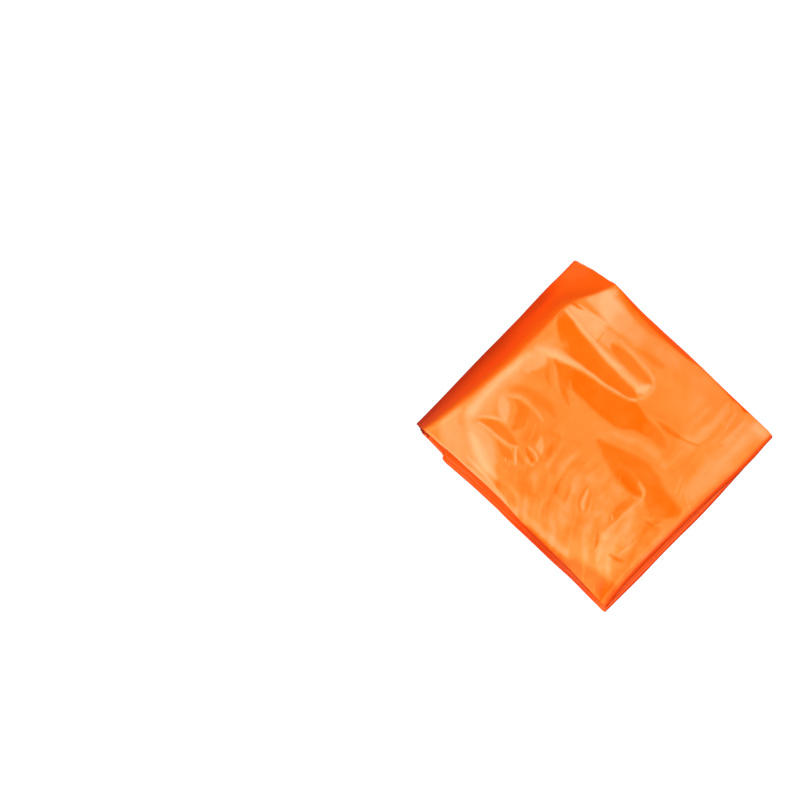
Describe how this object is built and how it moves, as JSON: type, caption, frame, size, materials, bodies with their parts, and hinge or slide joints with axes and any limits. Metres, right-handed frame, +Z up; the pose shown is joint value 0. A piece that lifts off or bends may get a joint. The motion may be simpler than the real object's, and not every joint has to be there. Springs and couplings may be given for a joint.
{
  "type": "folded emergency sleeping bag",
  "caption": "Emergency sleeping bag of thin glossy orange plastic film, folded into a flat rectangular pack with one soft sloping side.",
  "frame": {"origin": "centre of the pack's bounding box at its flat bottom", "axes": "+X along the long side of the pack, away from the sloping last fold; +Y across it; +Z up through its layers"},
  "size_m": [0.133, 0.1194, 0.0206],
  "materials": {
    "film": "glossy thin polyethylene film, creased"
  },
  "bodies": {
    "root": {"folded_bag": "film"}
  },
  "joints": []
}
